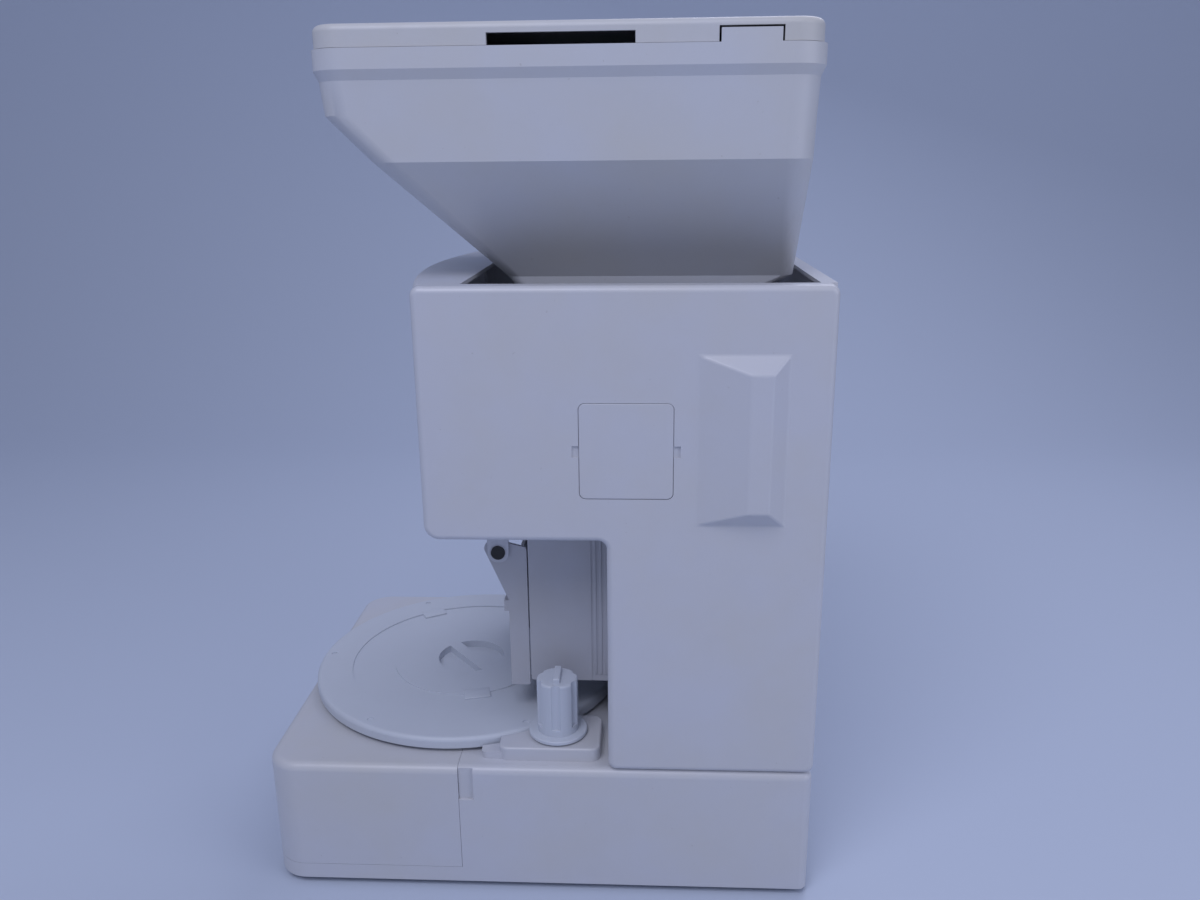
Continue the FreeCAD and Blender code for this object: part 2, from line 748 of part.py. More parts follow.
def make_guard():
    """The hinged guard in front of the drums: a front wall, two wings and two hinge lugs."""
    pivot = (V["guard_pivot_place"], V["guard_pivot_height"])
    lug = V["guard_lug_radius"]
    rear = V["forming_front"] - V["guard_gap"]
    wall = V["guard_wall"]
    top = pivot[1] + 3
    half = V["forming_offset"] + V["forming_thickness"]
    wing_points = [(V["guard_front"], V["guard_bottom"]), (rear, V["guard_bottom"]), (rear, top),
                   (pivot[0], pivot[1] + lug), (pivot[0] - lug - 6, pivot[1] + lug - 2),
                   (V["guard_front"], pivot[1] - 45)]
    guard = block(V["guard_front"], V["guard_front"] + wall, -half, half, V["guard_bottom"], pivot[1] - 30)
    for low, high in ((-half, -half + wall), (half - wall, half)):
        guard = guard.fuse(prism(wing_points, [2, 2, 3, 4, 6, 0], "side", low, high))
    hole = round_rod("y", pivot, V["guard_pin_radius"] + V["running_clearance"], -half - 1, half + 1)
    latch_low = V["drum_height"] + 16
    latch = block(V["guard_front"] - 4, V["guard_front"] + 1, -half, -half + 12, latch_low, latch_low + 10)
    piece("forming_guard", feature(guard.fuse(latch).cut(hole).removeSplitter()))


def make_turntable():
    x = V["turntable_place"]
    low, top = V["turntable_low"], turntable_top
    radius = V["turntable_radius"]
    disc = round_rod("z", (x, 0), radius, low, top)
    disc = disc.makeFillet(V["turntable_round"], edges_at(disc, "Z", top))
    dish = round_rod("z", (x, 0), radius - 33, top - 1.2, top + 1)
    middle = round_rod("z", (x, 0), radius / 2, top - 2, top + 2)
    disc = disc.cut(dish.cut(middle))
    # Two finger pockets leave a slanting grip bar between them.
    grip = round_rod("z", (x, 0), 32, low + 2.5, top + 1)
    bar = block(-6, 6, -40, 40, low, top)
    bar.rotate(Vector(), Vector(0, 0, 1), 40)
    bar.translate(Vector(x, 0, 0))
    disc = disc.cut(grip.cut(bar))
    for index in range(6):
        angle = math.radians(180 + 60 * index)
        at = (x + (radius - 10) * math.cos(angle), (radius - 10) * math.sin(angle))
        disc = disc.cut(round_rod("z", at, 3.0, top - 1.0, top + 1))
    piece("turntable_disc", feature(disc))
    floor = S["foot_height"] + S["bottom_thickness"]
    gap = S["parting_gap"]
    centre = (S["turntable_place"], 0)
    gear_low = V["pedestal_top"] + 2
    piece("turntable_spindle", rod("z", centre, S["spindle_radius"], (floor + gap, S["turntable_low"])))
    pedestal = rod("z", centre, S["pedestal_radius"], (floor, S["pedestal_top"]))
    bore = rod("z", centre, S["spindle_radius"] + S["running_clearance"], (floor, S["pedestal_top"]))
    piece("turntable_pedestal", cut(pedestal, bore))
    module = V["table_gear_module"]
    piece("turntable_gear", feature(gear("z", (x, 0), V["table_gear_teeth"], module, 0, gear_low,
                                         gear_low + V["gear_width"], V["spindle_radius"])))
    teeth = V["table_pinion_teeth"]
    pinion_x = x + (V["table_gear_teeth"] + teeth) * module / 2
    pinion = gear("z", (pinion_x, 0), teeth, module, 180 / teeth, gear_low, gear_low + V["gear_width"], 1.0)
    stem_low = V["pedestal_top"] - 28
    stem = round_rod("z", (pinion_x, 0), V["pinion_shaft_radius"], stem_low, gear_low + V["gear_width"])
    piece("turntable_pinion", feature(pinion.fuse(stem)))
    both_teeth = S["table_gear_teeth"] + S["table_pinion_teeth"]
    spot = (S["turntable_place"] + both_teeth * S["table_gear_module"] / 2, 0)
    motor = rod("z", spot, S["table_motor_radius"], (floor, S["pedestal_top"]))
    bore = rod("z", spot, S["pinion_shaft_radius"] + S["running_clearance"],
               (S["pedestal_top"] - 28.5, S["pedestal_top"]))
    piece("turntable_motor", cut(motor, bore))


def make_knob():
    low = V["base_top"]
    top = low + V["platform_height"]
    points = rectangle(V["platform_left"], V["platform_right"], V["platform_near"], V["platform_far"])
    platform = prism(points, [8.0] * 4, "plan", low, top)
    platform = platform.makeFillet(2.0, edges_at(platform, "Z", top))
    step = rectangle(V["platform_left"] - 15, V["platform_left"] + 12,
                     V["platform_near"] + 2, V["platform_near"] + 22)
    platform = platform.fuse(prism(step, [6.0] * 4, "plan", low, low + V["platform_height"] / 2))
    clear = round_rod("z", (V["turntable_place"], 0), V["turntable_radius"] + 1.5, low - 1, top + 5)
    centre = (V["knob_place"], V["knob_side"])
    hole = round_rod("z", centre, V["knob_spindle_radius"] + V["running_clearance"], low - 1, top + 1)
    piece("knob_platform", feature(platform.cut(clear).cut(hole)))
    start = max(top + V["parting_gap"], turntable_top + 0.5)
    ring_top = start + V["knob_ring_height"]
    ring = round_rod("z", centre, V["knob_ring_radius"], start, ring_top)
    ring = ring.makeFillet(1.2, edges_at(ring, "Z", ring_top))
    grip = round_rod("z", centre, V["knob_radius"], start, V["knob_top"])
    grip = grip.makeFillet(2.0, edges_at(grip, "Z", V["knob_top"]))
    for index in range(6):
        angle = math.radians(30 + 60 * index)
        at = (centre[0] + (V["knob_radius"] + 2.5) * math.cos(angle),
              centre[1] + (V["knob_radius"] + 2.5) * math.sin(angle))
        grip = grip.cut(round_rod("z", at, 5.0, ring_top + 6, V["knob_top"] + 1))
    ridge = block(centre[0] - 3, centre[0] + 3, centre[1] - 11, centre[1] + 13,
                  V["knob_top"] - 1, V["knob_top"] + 4)
    ridge = ridge.makeFillet(1.0, ridge.Edges)
    bore = round_rod("z", centre, V["knob_spindle_radius"], start, start + 20)
    piece("lock_knob", feature(ring.fuse(grip).fuse(ridge).cut(bore).removeSplitter()))
    piece("knob_spindle", rod("z", (S["knob_place"], S["knob_side"]), S["knob_spindle_radius"],
                              (S["base_top"] - 30, start + 20)))


def hopper_sections(inset):
    """Levels of the hopper from its outlet up, each a rounded rectangle in plan."""
    over = V["rim_overhang"]
    front = V["rim_front"] + over
    rear = V["rim_rear"] - over
    half = V["rim_half_width"] - over
    slope = V["hopper_bend"] - V["hopper_fold"]
    neck_front = front + 2 + V["hopper_bend"] - V["hopper_neck"]
    outlet = V["frame_top"] + V["seat_thickness"] + V["parting_gap"]
    rows = [
        (outlet, V["outlet_front"], V["outlet_rear"], V["outlet_half_width"], 8),
        (V["hopper_neck"], neck_front, rear - 5, V["outlet_half_width"] + 2, 12),
        (V["hopper_fold"], front + 2 + slope, rear - 2, half - 4, 22),
        (V["hopper_bend"], front + 2, rear - 1, half - 2, 22),
        (V["rim_low"] - 7, front, rear, half, 22),
    ]
    return [(z, a + inset, b - inset, h - inset, r - min(inset, 2)) for z, a, b, h, r in rows]


def loft(rows):
    wires = []
    for z, front, rear, half, radius in rows:
        wires.append(outline(rectangle(front, rear, -half, half), [radius] * 4, "plan", z))
    return Part.makeLoft(wires, True, True)


def make_hopper():
    outer_rows = hopper_sections(0)
    over = V["rim_overhang"]
    lip = (V["rim_front"], V["rim_rear"], V["rim_half_width"], outer_rows[-1][-1] + over)
    outer_rows += [(V["rim_low"],) + lip, (V["rim_top"],) + lip]
    inner_rows = hopper_sections(V["hopper_wall"])
    inner_rows.append((V["rim_top"] + 1,) + inner_rows[-1][1:])
    outlet = inner_rows[0]
    inner_rows.insert(0, (outlet[0] - 1,) + outlet[1:])
    shell = loft(outer_rows).cut(loft(inner_rows))
    tab = block(V["tab_start"], V["tab_end"], -V["rim_half_width"], -V["rim_half_width"] + 4, V["rim_top"] - 1,
                V["rim_top"] + V["tab_height"])
    shell = shell.fuse(tab)
    hole = round_rod("y", (agitator_place, agitator_height), 9.0, -half_width, half_width)
    piece("hopper_shell", feature(shell.cut(hole)))
    rings = []
    middle = S["outlet_half_width"] - 1
    for side in (-1, 1):
        span = (side * middle - 3.5, side * middle + 3.5)
        bore = S["shaft_radius"] + S["running_clearance"]
        rings.append(cut(rod("y", (agitator_place, agitator_height), 9.0, span),
                         rod("y", (agitator_place, agitator_height), bore, span)))
    piece("hopper_bushes", group(*rings))


def make_agitator():
    end = S["gear_side"] + S["gear_width"]
    spot = (agitator_place, agitator_height)
    near = S["outlet_half_width"] + 4
    shaft = rod("y", spot, S["shaft_radius"], (-near, end))
    arms = []
    for y in (-45, 0, 45):
        arms.append(rod("x", (y, agitator_height), S["arm_radius"],
                        (agitator_place - S["arm_reach"], agitator_place + S["arm_reach"])))
        arms.append(rod("z", (agitator_place, y + 15), S["arm_radius"],
                        (agitator_height - S["arm_reach"], agitator_height + S["arm_reach"])))
    piece("agitator_arms", group(*arms))
    holes = []
    for y in (-45, 0, 45):
        holes.append(rod("x", (y, agitator_height), S["arm_radius"],
                         (agitator_place - 10, agitator_place + 10)))
        holes.append(rod("z", (agitator_place, y + 15), S["arm_radius"],
                         (agitator_height - 10, agitator_height + 10)))
    piece("agitator_shaft", cut(shaft, *holes))
    # The tooth of the rear feed gear nearest the mesh sits a quarter pitch to its right.
    quarter = -0.25 * 360 / V["agitator_teeth"]
    side = V["gear_side"]
    wheel = gear("y", spot, V["agitator_teeth"], V["gear_module"], 270 + quarter, side, side + V["gear_width"],
                 V["shaft_radius"])
    piece("agitator_gear", feature(wheel))


def make_lid():
    inset = V["lid_inset"]
    gap = V["parting_gap"]
    low, top = V["rim_top"] + gap, V["lid_top"]
    front, rear = V["rim_front"] + inset, V["rim_rear"] - inset
    half = V["rim_half_width"] - inset + 2
    lid = prism(rectangle(front, rear, -half, half), [V["lid_corner"]] * 4, "plan", low, top)
    lid = lid.makeFillet(5.0, edges_at(lid, "Z", top))
    wall = V["lid_wall"]
    inner = rectangle(front + wall, rear - wall, -half + wall, half - wall)
    lid = lid.cut(prism(inner, [V["lid_corner"] - wall] * 4, "plan", low - 1, top - wall))
    slot = (V["finger_slot_start"], V["finger_slot_end"])
    for side in (-half - 1, half - wall - 1):
        lid = lid.cut(block(*slot, side, side + wall + 2, low - 1, low + V["finger_slot_height"]))
    room = 1.5
    lid = lid.cut(block(V["tab_start"] - room, V["tab_end"] + room, -half - 1, -half + 6 + room, low - 1,
                        V["rim_top"] + V["tab_height"] + room))
    piece("hopper_lid", feature(lid))


def make_electrics():
    floor = S["overhang_bottom"] + S["cover_wall"]
    front = S["overhang_front"] + 6
    piece("control_board", box((front, front + 2), (-90, 90), (floor, S["casing_top"] - 43)))
    base = S["foot_height"] + S["bottom_thickness"]
    rear = S["base_length"] / 2
    piece("power_supply", box((rear - 130, rear - 30), (-60, 40), (base, base + 50)))
    side, level = S["inlet_side"], S["inlet_height"]
    body = box((rear - 20, rear), (side - 14, side + 14), (level - 10, level + 10))
    socket = box((rear - 16, rear + 1), (side - 11, side + 11), (level - 7, level + 7))
    pins = [box((rear - 17, rear - 11), (side + y - 1, side + y + 1), (level + z - 2, level + z + 2))
            for y, z in ((-7, -1), (0, 2), (7, -1))]
    piece("power_inlet", fuse(cut(body, socket), *pins))
    x = V["base_length"] / 2
    middle = V["inlet_side"] - 37
    height = V["inlet_height"]
    gap = V["parting_gap"]
    rocker = round_rod("y", (x - 6, height), 7.0, middle - 10.7, middle + 10.7)
    rocker = rocker.fuse(block(x - 6, x, middle - 10.7, middle + 10.7, height - 5, height + 5))
    piece("power_rocker", feature(rocker.removeSplitter()))
    frame = block(x - 16, x - V["cover_wall"], middle - 13, middle + 13, height - 11, height + 11)
    well = round_rod("y", (x - 6, height), 7.0 + gap, middle - 10.7 - gap, middle + 10.7 + gap)
    piece("rocker_frame", feature(frame.cut(well)))
    heads = []
    side = S["body_width"] / 2 - 30
    for x_place in (S["cover_seam"] + 40, S["rear_foot_place"] - 60):
        for y in (-side, side):
            heads.append(rod("z", (x_place, y), S["screw_radius"], (S["foot_height"] - 2, S["foot_height"])))
    piece("cover_screws", group(*heads))


make_base()
make_side_covers()
make_front_panel()
make_overhang_floor()
make_column_and_rear()
make_frame()
make_feed()
make_chute()
make_forming_unit()
make_guard()
make_turntable()
make_knob()
make_hopper()
make_agitator()
make_lid()
make_electrics()
doc.recompute()

for item in doc.Objects:
    if "Invalid" in item.State or "Error" in item.State:
        raise RuntimeError("failed object: %s %s" % (item.Label, item.State))
os.makedirs("parts", exist_ok=True)
for item in pieces:
    if item.Shape.isNull() or not item.Shape.isValid():
        raise RuntimeError("bad shape: %s" % item.Label)
for item in pieces:
    item.Shape.exportStep("parts/%s.step" % item.Label)
print(len(pieces), "pieces")
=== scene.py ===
"""Dresses the rice-ball forming machine: finishes, small trim, studio and camera."""
import json
import math
import bpy
from mathutils import Matrix, Vector


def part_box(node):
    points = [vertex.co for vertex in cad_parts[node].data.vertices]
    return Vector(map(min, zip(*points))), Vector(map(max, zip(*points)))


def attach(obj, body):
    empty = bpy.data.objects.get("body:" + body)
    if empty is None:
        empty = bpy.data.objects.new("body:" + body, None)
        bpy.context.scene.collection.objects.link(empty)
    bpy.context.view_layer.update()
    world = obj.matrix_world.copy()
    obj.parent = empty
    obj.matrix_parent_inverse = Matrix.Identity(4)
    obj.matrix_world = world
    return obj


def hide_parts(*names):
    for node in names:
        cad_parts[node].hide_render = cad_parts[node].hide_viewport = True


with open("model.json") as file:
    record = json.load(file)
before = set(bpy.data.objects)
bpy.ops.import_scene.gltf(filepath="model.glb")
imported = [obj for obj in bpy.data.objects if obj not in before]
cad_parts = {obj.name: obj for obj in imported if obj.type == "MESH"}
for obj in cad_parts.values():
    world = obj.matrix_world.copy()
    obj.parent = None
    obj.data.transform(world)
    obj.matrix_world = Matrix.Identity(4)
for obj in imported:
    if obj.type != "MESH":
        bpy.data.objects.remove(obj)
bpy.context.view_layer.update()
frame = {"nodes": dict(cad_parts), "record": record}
nodes = frame["nodes"]
MM = 0.001

SHADER = "Principled BSDF"
# Sockets of the mix node that carry its colours.
MIX_FACTOR, MIX_FIRST, MIX_SECOND, MIX_RESULT = 0, 6, 7, 2


def feed(tree, slot, value):
    """Link a shader value to a socket, or set the socket to a plain value."""
    if isinstance(value, Shade):
        tree.links.new(value.socket, slot)
    else:
        slot.default_value = value


class Shade:
    """A shader socket that takes part in Python expressions."""

    def __init__(self, tree, socket):
        self.tree = tree
        self.socket = socket

    def math(self, operation, first, second):
        node = self.tree.nodes.new("ShaderNodeMath")
        node.operation = operation
        for slot, value in zip(node.inputs, (first, second)):
            feed(self.tree, slot, value)
        return Shade(self.tree, node.outputs[0])

    def __add__(self, other):
        return self.math("ADD", self, other)

    __radd__ = __add__

    def __mul__(self, other):
        return self.math("MULTIPLY", self, other)

    def __sub__(self, other):
        return self.math("SUBTRACT", self, other)

    def __rsub__(self, other):
        return self.math("SUBTRACT", other, self)

    def above(self, limit):
        return self.math("GREATER_THAN", self, limit)


def add_node(tree, kind, inputs=None, output=0, **settings):
    """A node by its type, its settings first and then its sockets."""
    node = tree.nodes.new(kind)
    for name, value in settings.items():
        setattr(node, name, value)
    for name, value in (inputs or {}).items():
        feed(tree, node.inputs[name], value)
    return Shade(tree, node.outputs[output])


def new_material(name):
    """A material with its node tree, its shader and the place on the object."""
    material = bpy.data.materials.new(name)
    material.use_nodes = True
    tree = material.node_tree
    place = add_node(tree, "ShaderNodeTexCoord", output="Object")
    return material, tree, tree.nodes[SHADER], place


def link(tree, source, shader, name):
    tree.links.new(source.socket, shader.inputs[name])


def noise(tree, place, scale, detail=4.0, rough=0.55):
    return add_node(tree, "ShaderNodeTexNoise",
                    {"Vector": place, "Scale": scale, "Detail": detail, "Roughness": rough})


def ramp(tree, source, low, high):
    """Black below one value of a source, white above another."""
    node = tree.nodes.new("ShaderNodeValToRGB")
    feed(tree, node.inputs["Fac"], source)
    stops = node.color_ramp.elements
    stops[0].position = low
    stops[1].position = high
    return Shade(tree, node.outputs[0])


def stretch(tree, place, scale):
    return add_node(tree, "ShaderNodeMapping", {"Vector": place, "Scale": scale})


def emboss(tree, shader, strength, distance, height):
    """Raise a pattern on the surface, in shading alone."""
    relief = add_node(tree, "ShaderNodeBump",
                      {"Strength": strength, "Distance": distance, "Height": height})
    link(tree, relief, shader, "Normal")


def mix(tree, factor, first, second):
    """A colour between two others."""
    node = tree.nodes.new("ShaderNodeMix")
    node.data_type = "RGBA"
    feed(tree, node.inputs[MIX_FACTOR], factor)
    feed(tree, node.inputs[MIX_FIRST], first)
    feed(tree, node.inputs[MIX_SECOND], second)
    return Shade(tree, node.outputs[MIX_RESULT])


def darker(colour, share):
    return tuple(part * share for part in colour[:3]) + (1,)


def moulded_plastic(name, colour, aged, roughness, grain=900.0, bump=0.035, coat=0.0, wear=0.5):
    """Moulded plastic with a fine grain, faint yellowing, smudges, specks and hairline scuffs."""
    material, tree, shader, place = new_material(name)
    clouds = ramp(tree, noise(tree, place, 9.0), 0.38, 0.72)
    smudge = ramp(tree, noise(tree, place, 34.0, 6.0, 0.65), 0.50, 0.80)
    hairline = stretch(tree, place, (70.0, 70.0, 900.0))
    scuff = ramp(tree, noise(tree, hairline, 1.0, 3.0), 0.66, 0.74)
    speck = ramp(tree, noise(tree, place, 260.0, 2.0), 0.745, 0.775)
    dirt = (0.20, 0.17, 0.13, 1)
    base = mix(tree, clouds * 0.55, colour, aged)
    base = mix(tree, smudge * (0.28 * wear), base, darker(colour, 0.86))
    base = mix(tree, speck * (0.35 * wear), base, dirt)
    link(tree, base, shader, "Base Color")
    rough = roughness + clouds * 0.05 + smudge * 0.08 - scuff * 0.06
    link(tree, rough, shader, "Roughness")
    fine = noise(tree, place, grain, 2.0)
    emboss(tree, shader, bump, 0.6 * MM, fine + scuff * (0.5 * wear))
    shader.inputs["Coat Weight"].default_value = coat
    shader.inputs["Coat Roughness"].default_value = 0.25
    return material


def milky_plastic(name, colour):
    """Polyethylene that lets a little light into its surface."""
    material = moulded_plastic(name, colour, darker(colour, 0.95), 0.42,
                               grain=700.0, bump=0.04, wear=0.4)
    shader = material.node_tree.nodes[SHADER]
    shader.inputs["Subsurface Weight"].default_value = 0.12
    shader.inputs["Subsurface Radius"].default_value = (0.012, 0.011, 0.010)
    shader.inputs["Subsurface Scale"].default_value = 0.4
    return material


def brushed_steel(name, colour, along=(12.0, 1400.0, 1400.0)):
    """Metal with fine lines along one axis, the one with the small scale."""
    material, tree, shader, place = new_material(name)
    lines = noise(tree, stretch(tree, place, along), 1.0, 3.0)
    tone = ramp(tree, lines, 0.3, 0.75)
    link(tree, mix(tree, tone * 0.35, colour, darker(colour, 0.7)), shader, "Base Color")
    link(tree, 0.26 + tone * 0.16, shader, "Roughness")
    shader.inputs["Metallic"].default_value = 1.0
    emboss(tree, shader, 0.05, 0.3 * MM, lines)
    return material


def black_rubber(name, colour=(0.022, 0.022, 0.024, 1)):
    """Black rubber or nylon with a little dust."""
    material, tree, shader, place = new_material(name)
    dust = ramp(tree, noise(tree, place, 60.0), 0.5, 0.8)
    dusty = (0.10, 0.10, 0.10, 1)
    link(tree, mix(tree, dust * 0.3, colour, dusty), shader, "Base Color")
    link(tree, 0.58 + dust * 0.2, shader, "Roughness")
    emboss(tree, shader, 0.1, 0.4 * MM, noise(tree, place, 1300.0, 2.0))
    return material


def circuit_board(name):
    """Green board with a net of lighter tracks."""
    material, tree, shader, place = new_material(name)
    cells = add_node(tree, "ShaderNodeTexVoronoi", {"Vector": place, "Scale": 160.0},
                     feature="DISTANCE_TO_EDGE")
    track = 1 - cells.above(0.06)
    mask, copper = (0.010, 0.085, 0.035, 1), (0.03, 0.17, 0.07, 1)
    link(tree, mix(tree, track, mask, copper), shader, "Base Color")
    link(tree, 0.35 + track * 0.1, shader, "Roughness")
    return material


def dark_window(name):
    """Smoked display window with a faint haze of fingerprints."""
    material, tree, shader, place = new_material(name)
    haze = ramp(tree, noise(tree, place, 90.0, 5.0), 0.45, 0.8)
    smoke, print_grey = (0.012, 0.013, 0.016, 1), (0.05, 0.05, 0.055, 1)
    link(tree, mix(tree, haze * 0.25, smoke, print_grey), shader, "Base Color")
    link(tree, 0.08 + haze * 0.16, shader, "Roughness")
    shader.inputs["Coat Weight"].default_value = 0.6
    return material


WARM = (0.60, 0.585, 0.555, 1)
FINISH = {
    "white_plastic": moulded_plastic(
        "casing_white", (0.600, 0.612, 0.672, 1), WARM, 0.34, coat=0.12),
    "hopper_plastic": moulded_plastic(
        "hopper_white", (0.600, 0.615, 0.668, 1), WARM, 0.36, coat=0.10),
    "lid_plastic": moulded_plastic(
        "lid_ivory", (0.600, 0.605, 0.630, 1), (0.57, 0.55, 0.50, 1), 0.40, wear=0.9),
    "milky_plastic": milky_plastic("milky_polyethylene", (0.600, 0.635, 0.705, 1)),
    "forming_plastic": moulded_plastic(
        "forming_grey_white", (0.520, 0.525, 0.570, 1), (0.50, 0.48, 0.45, 1), 0.40),
    "steel": brushed_steel("brushed_steel", (0.55, 0.55, 0.57, 1)),
    "nylon": moulded_plastic(
        "natural_nylon", (0.66, 0.64, 0.58, 1), (0.60, 0.56, 0.46, 1), 0.45),
    "motor_metal": brushed_steel("motor_housing", (0.16, 0.165, 0.17, 1), (900.0, 14.0, 900.0)),
    "black_plastic": black_rubber("black_nylon", (0.02, 0.02, 0.022, 1)),
    "rubber": black_rubber("black_rubber"),
    "board": circuit_board("control_board_green"),
    "window": dark_window("smoked_window"),
    "start_key": moulded_plastic(
        "green_key", (0.030, 0.200, 0.070, 1), (0.04, 0.18, 0.07, 1), 0.30, coat=0.2),
    "stop_key": moulded_plastic(
        "red_key", (0.380, 0.030, 0.025, 1), (0.33, 0.03, 0.03, 1), 0.30, coat=0.2),
}
RECORD = frame["record"]
SLOT_OF = {part["node"]: part["material_slot"] for part in RECORD["subparts"]}
BODY_OF = {node: body for body, members in RECORD["behaviour"]["bodies"].items()
           for node in members}

# Steepest change of slope, in degrees, that still shades as one surface.
SMOOTH = 32
SMOOTH_OF = {"hopper_shell": 18}
# Faces that differ by less than this, in degrees, are joined.
FLAT = 0.3
# Corners nearer to each other than this, in metres, are joined.
SAME_PLACE = 1e-5


def only(item):
    """Select one object and make it active."""
    bpy.ops.object.select_all(action="DESELECT")
    item.select_set(True)
    bpy.context.view_layer.objects.active = item


def mode(name):
    bpy.ops.object.mode_set(mode=name)


def fix_place(item):
    """Move an object's place, turn and scale into its mesh."""
    only(item)
    bpy.ops.object.transform_apply(location=True, rotation=True, scale=True)


def round_edges(item, width, segments, weighted=False):
    """Round an object's sharp edges, or only those with a weight."""
    only(item)
    bevel = item.modifiers.new("round", "BEVEL")
    if weighted:
        bevel.limit_method = "WEIGHT"
    bevel.width = width
    bevel.segments = segments
    bpy.ops.object.modifier_apply(modifier=bevel.name)


def paint(item, slot):
    item.data.materials.clear()
    item.data.materials.append(FINISH[slot])


def even_shading(item):
    """Let large flat faces lead the shading of the fillets beside them."""
    weights = item.modifiers.new("even_shading", "WEIGHTED_NORMAL")
    weights.mode = "FACE_AREA"
    weights.weight = 100
    weights.keep_sharp = True
    bpy.ops.object.modifier_apply(modifier=weights.name)


HUMPED = ("left_side_cover", "right_side_cover")
# The hump lies outside the cover's face and within these lengths and heights.
COVER_FACE = 169.9 * MM
HUMP_X = (115 * MM, 205 * MM)
HUMP_Z = (325 * MM, 475 * MM)
HUMP_ROUNDING = 5 * MM


def on_hump(place):
    return (abs(place.y) > COVER_FACE and HUMP_X[0] < place.x < HUMP_X[1]
            and HUMP_Z[0] < place.z < HUMP_Z[1])


def soften_hump(skin):
    """Round the edges of the raised hump on a side cover."""
    mesh = skin.data
    weight = mesh.attributes.new("bevel_weight_edge", "FLOAT", "EDGE")
    for edge in mesh.edges:
        ends = [mesh.vertices[index].co for index in edge.vertices]
        weight.data[edge.index].value = float(all(on_hump(end) for end in ends))
    round_edges(skin, HUMP_ROUNDING, 5, weighted=True)


def dress(name):
    """A merged copy of a node with smooth shading, which stands for it."""
    node = nodes[name]
    skin = node.copy()
    skin.data = node.data.copy()
    for key in list(skin.keys()):
        del skin[key]
    skin.parent = None
    skin.matrix_world = Matrix.Identity(4)
    skin.name = name + "_skin"
    bpy.context.scene.collection.objects.link(skin)
    only(skin)
    mode("EDIT")
    bpy.ops.mesh.select_all(action="SELECT")
    bpy.ops.mesh.remove_doubles(threshold=SAME_PLACE)
    bpy.ops.mesh.dissolve_limited(angle_limit=math.radians(FLAT))
    bpy.ops.mesh.customdata_custom_splitnormals_clear()
    if name in HUMPED:
        mode("OBJECT")
        soften_hump(skin)
        mode("EDIT")
    bpy.ops.mesh.select_mode(type="EDGE")
    bpy.ops.mesh.select_all(action="DESELECT")
    bpy.ops.mesh.edges_select_sharp(sharpness=math.radians(SMOOTH_OF.get(name, SMOOTH)))
    bpy.ops.mesh.mark_sharp()
    mode("OBJECT")
    bpy.ops.object.shade_smooth()
    even_shading(skin)
    paint(skin, SLOT_OF[name])
    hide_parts(name)
    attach(skin, BODY_OF[name])


for name in nodes:
    dress(name)


def settle(item, slot, body):
    """Finish a new piece: shading, paint and the body that carries it."""
    fix_place(item)
    bpy.ops.object.shade_smooth_by_angle(angle=math.radians(SMOOTH))
    paint(item, slot)
    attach(item, body)


def block(centre, size, turn=0.0):
    """A cube stretched to a size and turned about the upright axis."""
    bpy.ops.mesh.primitive_cube_add(size=1, location=centre, rotation=(0, 0, turn))
    cube = bpy.context.object
    cube.scale = size
    fix_place(cube)
    return cube


def forming_ribs():
    """Upright ribs behind the joint line of the near forming plate."""
    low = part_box("right_forming_plate")[0]
    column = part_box("column_front_wall")[0].x
    joint, rib_top = 46 * MM, 318 * MM
    proud, sunk, lift = 0.9 * MM, 0.5 * MM, 6 * MM
    count = 3
    step = (column - joint - 2 * MM) / count
    width = step * 0.55
    for index in range(count):
        start = joint + 1.5 * MM + index * step
        near = (start, low.y - proud, low.z + lift)
        far = (start + width, low.y + sunk, rib_top)
        rib = block([(a + b) / 2 for a, b in zip(near, far)], [b - a for a, b in zip(near, far)])
        rib.name = "forming_rib_%d" % index
        round_edges(rib, 0.5 * MM, 3)
        settle(rib, "forming_plastic", "chassis")


def rear_screws():
    """Cross-recessed screws round the edge of the rear cover."""
    low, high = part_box("rear_cover")
    inset, end_gap = 12 * MM, 22 * MM
    radius, depth, proud = 3.6 * MM, 1.8 * MM, 0.6 * MM
    reach, arm, slit = 3 * MM, 4.2 * MM, 0.9 * MM
    places = [(y, z) for y in (low.y + inset, high.y - inset)
              for z in (low.z + end_gap, (low.z + high.z) / 2, high.z - end_gap)]
    for index, (y, z) in enumerate(places):
        bpy.ops.mesh.primitive_cylinder_add(
            vertices=32, radius=radius, depth=depth,
            location=(high.x + proud, y, z), rotation=(0, math.pi / 2, 0))
        head = bpy.context.object
        head.name = "rear_screw_%d" % index
        fix_place(head)
        for size in ((reach, slit, arm), (reach, arm, slit)):
            cutter = block((high.x + 2.4 * MM, y, z), size)
            only(head)
            recess = head.modifiers.new("recess", "BOOLEAN")
            recess.operation = "DIFFERENCE"
            recess.object = cutter
            bpy.ops.object.modifier_apply(modifier=recess.name)
            bpy.data.objects.remove(cutter)
        settle(head, "steel", "chassis")


def turntable_pads():
    """Two low pads moulded on the turntable."""
    low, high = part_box("turntable_disc")
    centre = (low + high) / 2
    size, sunk = (16 * MM, 24 * MM, 2.0 * MM), 0.6 * MM
    for index, (angle, reach) in enumerate(((121, 112), (-76, 74))):
        turn = math.radians(angle)
        place = (centre.x + reach * MM * math.cos(turn),
                 centre.y + reach * MM * math.sin(turn), high.z - sunk)
        pad = block(place, size, turn)
        pad.name = "turntable_pad_%d" % index
        round_edges(pad, 0.7 * MM, 3)
        settle(pad, "milky_plastic", "turntable")


forming_ribs()
rear_screws()
turntable_pads()


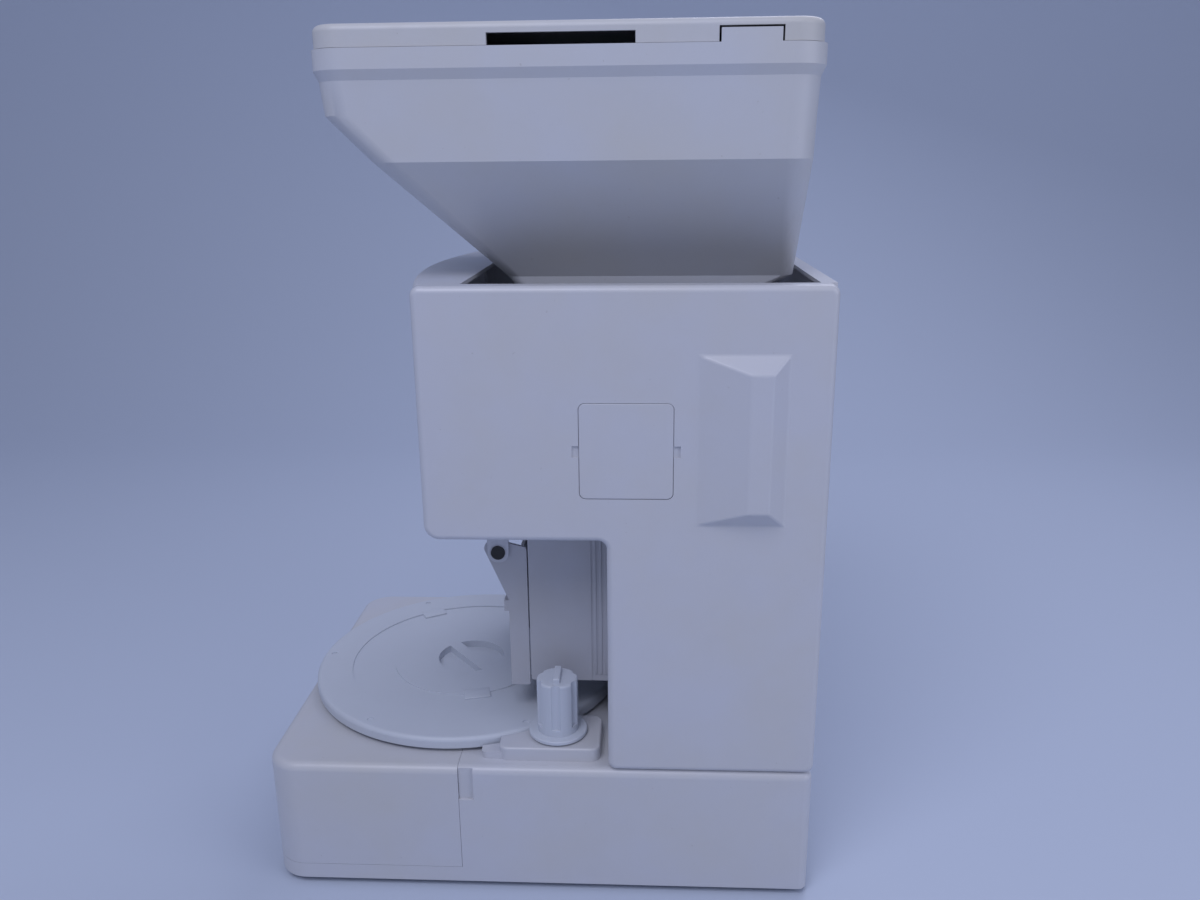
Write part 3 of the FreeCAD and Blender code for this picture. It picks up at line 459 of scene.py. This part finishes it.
def backdrop():
    """Pale floor and wall in one sweep."""
    size, wall_height, wall_y, sweep = 8, 5, 2.4, 1.2
    bpy.ops.mesh.primitive_plane_add(size=size, location=(0, 0, 0))
    floor = bpy.context.object
    floor.name = "studio_floor"
    only(floor)
    mode("EDIT")
    bpy.ops.mesh.select_all(action="DESELECT")
    mode("OBJECT")
    for edge in floor.data.edges:
        edge.select = all(floor.data.vertices[index].co.y > 0 for index in edge.vertices)
    mode("EDIT")
    bpy.ops.mesh.select_mode(type="EDGE")
    bpy.ops.mesh.extrude_region_move(TRANSFORM_OT_translate={"value": (0, 0, wall_height)})
    mode("OBJECT")
    for vertex in floor.data.vertices:
        if vertex.co.y > 0:
            vertex.co.y = wall_y
    round_edges(floor, sweep, 16)
    bpy.ops.object.shade_smooth_by_angle(angle=math.radians(40))
    material = bpy.data.materials.new("studio_pale")
    material.use_nodes = True
    shader = material.node_tree.nodes[SHADER]
    shader.inputs["Base Color"].default_value = (0.54, 0.60, 0.73, 1)
    shader.inputs["Roughness"].default_value = 0.9
    floor.data.materials.append(material)


def lighting():
    """An even sky and three soft lamps with a cool tint."""
    world = bpy.data.worlds.new("studio_sky")
    bpy.context.scene.world = world
    world.use_nodes = True
    sky = world.node_tree.nodes["Background"]
    sky.inputs["Color"].default_value = (0.64, 0.70, 0.93, 1)
    sky.inputs["Strength"].default_value = 0.38
    cool = (0.82, 0.845, 1.0)
    target = Vector((0.0, 0.0, 0.32))
    lamps = (("key_lamp", (-0.4, -1.3, 2.1), 1.3, 18.0),
             ("fill_lamp", (1.6, -1.0, 1.0), 1.4, 6.5),
             ("back_lamp", (0.6, 1.2, 1.8), 1.2, 9.5))
    for name, place, size, power in lamps:
        bpy.ops.object.light_add(type="AREA", location=place)
        lamp = bpy.context.object
        lamp.name = name
        lamp.data.shape = "DISK"
        lamp.data.size = size
        lamp.data.energy = power
        lamp.data.color = cool
        lamp.rotation_euler = (target - Vector(place)).to_track_quat("-Z", "Y").to_euler()


def camera():
    """The photograph's viewpoint, fitted to the edges of the casing and base."""
    data = bpy.data.cameras.new("photo_camera")
    data.sensor_width = 36.0
    data.sensor_fit = "HORIZONTAL"
    data.lens = 29.4
    item = bpy.data.objects.new("photo_camera", data)
    bpy.context.scene.collection.objects.link(item)
    place = (0.09289, -0.87356, 0.59822)
    right = Vector((0.99885, 0.04713, -0.00937))
    upward = Vector((-0.00413, 0.27840, 0.96046))
    ahead = Vector((-0.04788, 0.95931, -0.27827))
    turn = Matrix((right, upward, -ahead)).transposed().to_4x4()
    item.matrix_world = Matrix.Translation(place) @ turn
    bpy.context.scene.camera = item


backdrop()
lighting()
camera()
bpy.context.scene.view_settings.view_transform = "Standard"
